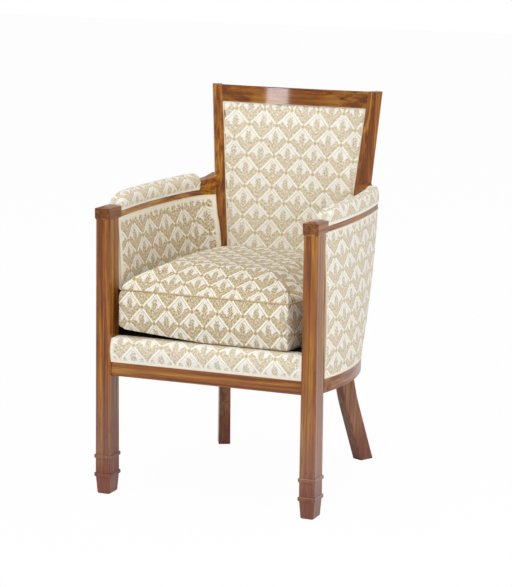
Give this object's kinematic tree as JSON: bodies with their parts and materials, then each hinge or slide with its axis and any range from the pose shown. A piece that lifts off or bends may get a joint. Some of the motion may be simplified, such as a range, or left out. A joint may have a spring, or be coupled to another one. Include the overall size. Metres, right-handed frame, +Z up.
{
  "type": "bergere chair",
  "caption": "Small upholstered bergere armchair: show-wood frame, curved padded arms, raked hollow back and a loose seat cushion that lifts out.",
  "frame": {"origin": "centre of the chair's box on the floor", "axes": "+Z up, front towards -Y, +X to the right as seen from the front camera side; the chair is symmetrical about x = 0"},
  "size_m": [0.5656, 0.5816, 0.897],
  "materials": {
    "polished_hardwood": "satin polish",
    "beech": "raw",
    "woven_upholstery": "woven",
    "jute_webbing": "coarse woven",
    "hessian": "coarse woven",
    "cotton_felt": "soft",
    "black_lining_cloth": "plain woven"
  },
  "bodies": {
    "frame": {"arm_cap_left": "polished_hardwood", "arm_cap_right": "polished_hardwood", "arm_pad_left": "woven_upholstery", "arm_pad_right": "woven_upholstery", "arm_rail_left": "polished_hardwood", "arm_rail_right": "polished_hardwood", "back_webbing": "jute_webbing", "corner_block_front_left": "beech", "corner_block_front_right": "beech", "corner_block_rear_left": "beech", "corner_block_rear_right": "beech", "crest_rail": "polished_hardwood", "deck_hessian": "hessian", "deck_pad": "cotton_felt", "dust_cover": "black_lining_cloth", "front_border": "woven_upholstery", "front_post_left": "polished_hardwood", "front_post_right": "polished_hardwood", "front_seat_rail": "polished_hardwood", "inside_arm_left": "woven_upholstery", "inside_arm_right": "woven_upholstery", "inside_back": "woven_upholstery", "low_back_rail": "beech", "outside_arm_left": "woven_upholstery", "outside_arm_right": "woven_upholstery", "outside_back": "woven_upholstery", "rear_post_left": "polished_hardwood", "rear_post_right": "polished_hardwood", "rear_seat_rail": "polished_hardwood", "side_seat_rail_left": "polished_hardwood", "side_seat_rail_right": "polished_hardwood", "stuffing_rail_left": "beech", "stuffing_rail_right": "beech", "webbing_across": "jute_webbing", "webbing_lengthwise": "jute_webbing"},
    "cushion": {"seat_cushion": "woven_upholstery"}
  },
  "joints": [
    {"name": "cushion_lift", "type": "slide", "parent": "frame", "child": "cushion", "axis": [0, 0, 1], "range_m": [0, 0.4]}
  ]
}
